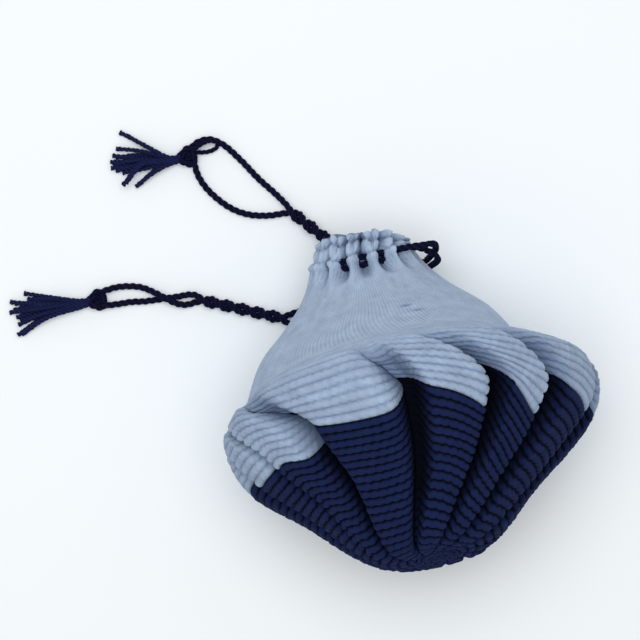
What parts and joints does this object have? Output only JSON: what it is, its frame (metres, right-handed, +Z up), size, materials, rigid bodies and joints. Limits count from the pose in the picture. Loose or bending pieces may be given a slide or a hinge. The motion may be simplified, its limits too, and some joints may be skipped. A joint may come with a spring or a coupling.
{
  "type": "drawstring pouch",
  "caption": "Hand-knitted pouch lying on its side: navy and light blue garter-stitch gores, a plain yoke, and a gathered frilled neck drawn shut by tasselled drawstrings.",
  "frame": {"origin": "on the table, under the middle of the pouch without its free cords", "axes": "+Z up from the table, +Y from the base of the pouch towards its mouth, +X across it"},
  "size_m": [0.3216, 0.284, 0.1647],
  "materials": {
    "navy_knit": "navy wool garter stitch",
    "light_knit": "light blue wool knit",
    "navy_cord": "dark navy twisted wool cord"
  },
  "bodies": {
    "pouch": {"lower_gore_01": "navy_knit", "upper_gore_01": "light_knit", "lower_gore_02": "navy_knit", "upper_gore_02": "light_knit", "lower_gore_03": "navy_knit", "upper_gore_03": "light_knit", "lower_gore_04": "navy_knit", "upper_gore_04": "light_knit", "lower_gore_05": "navy_knit", "upper_gore_05": "light_knit", "lower_gore_06": "navy_knit", "upper_gore_06": "light_knit", "lower_gore_07": "navy_knit", "upper_gore_07": "light_knit", "lower_gore_08": "navy_knit", "upper_gore_08": "light_knit", "lower_gore_09": "navy_knit", "upper_gore_09": "light_knit", "lower_gore_10": "navy_knit", "upper_gore_10": "light_knit", "lower_gore_11": "navy_knit", "upper_gore_11": "light_knit", "lower_gore_12": "navy_knit", "upper_gore_12": "light_knit", "lower_gore_13": "navy_knit", "upper_gore_13": "light_knit", "base_disc": "navy_knit", "yoke": "light_knit", "collar": "light_knit", "left_drawstring_ring": "navy_cord", "right_drawstring_ring": "navy_cord", "left_strand_1": "navy_cord", "left_strand_2": "navy_cord", "right_strand_1": "navy_cord", "right_strand_2": "navy_cord"},
    "left_cord_end": {"left_knot": "navy_cord"},
    "left_tassel_end": {"left_tassel": "navy_cord"},
    "right_cord_end": {"right_knot": "navy_cord"},
    "right_tassel_end": {"right_tassel": "navy_cord"}
  },
  "joints": [
    {"name": "left_cord_draw", "type": "slide", "parent": "pouch", "child": "left_cord_end", "axis": [0.6691, -0.7431, 0], "range_m": [0, 0.06], "deforming": ["left_strand_1", "left_strand_2"]},
    {"name": "left_tassel_swing", "type": "hinge", "parent": "left_cord_end", "child": "left_tassel_end", "pos_m": [-0.09401, 0.16471, 0.0031], "axis": [0, 0, 1], "range_deg": [-25, 25]},
    {"name": "right_cord_draw", "type": "slide", "parent": "pouch", "child": "right_cord_end", "axis": [1, 0, 0], "range_m": [0, 0.06], "deforming": ["right_strand_1", "right_strand_2"]},
    {"name": "right_tassel_swing", "type": "hinge", "parent": "right_cord_end", "child": "right_tassel_end", "pos_m": [-0.16431, 0.09411, 0.0031], "axis": [0, 0, 1], "range_deg": [-25, 25]}
  ]
}
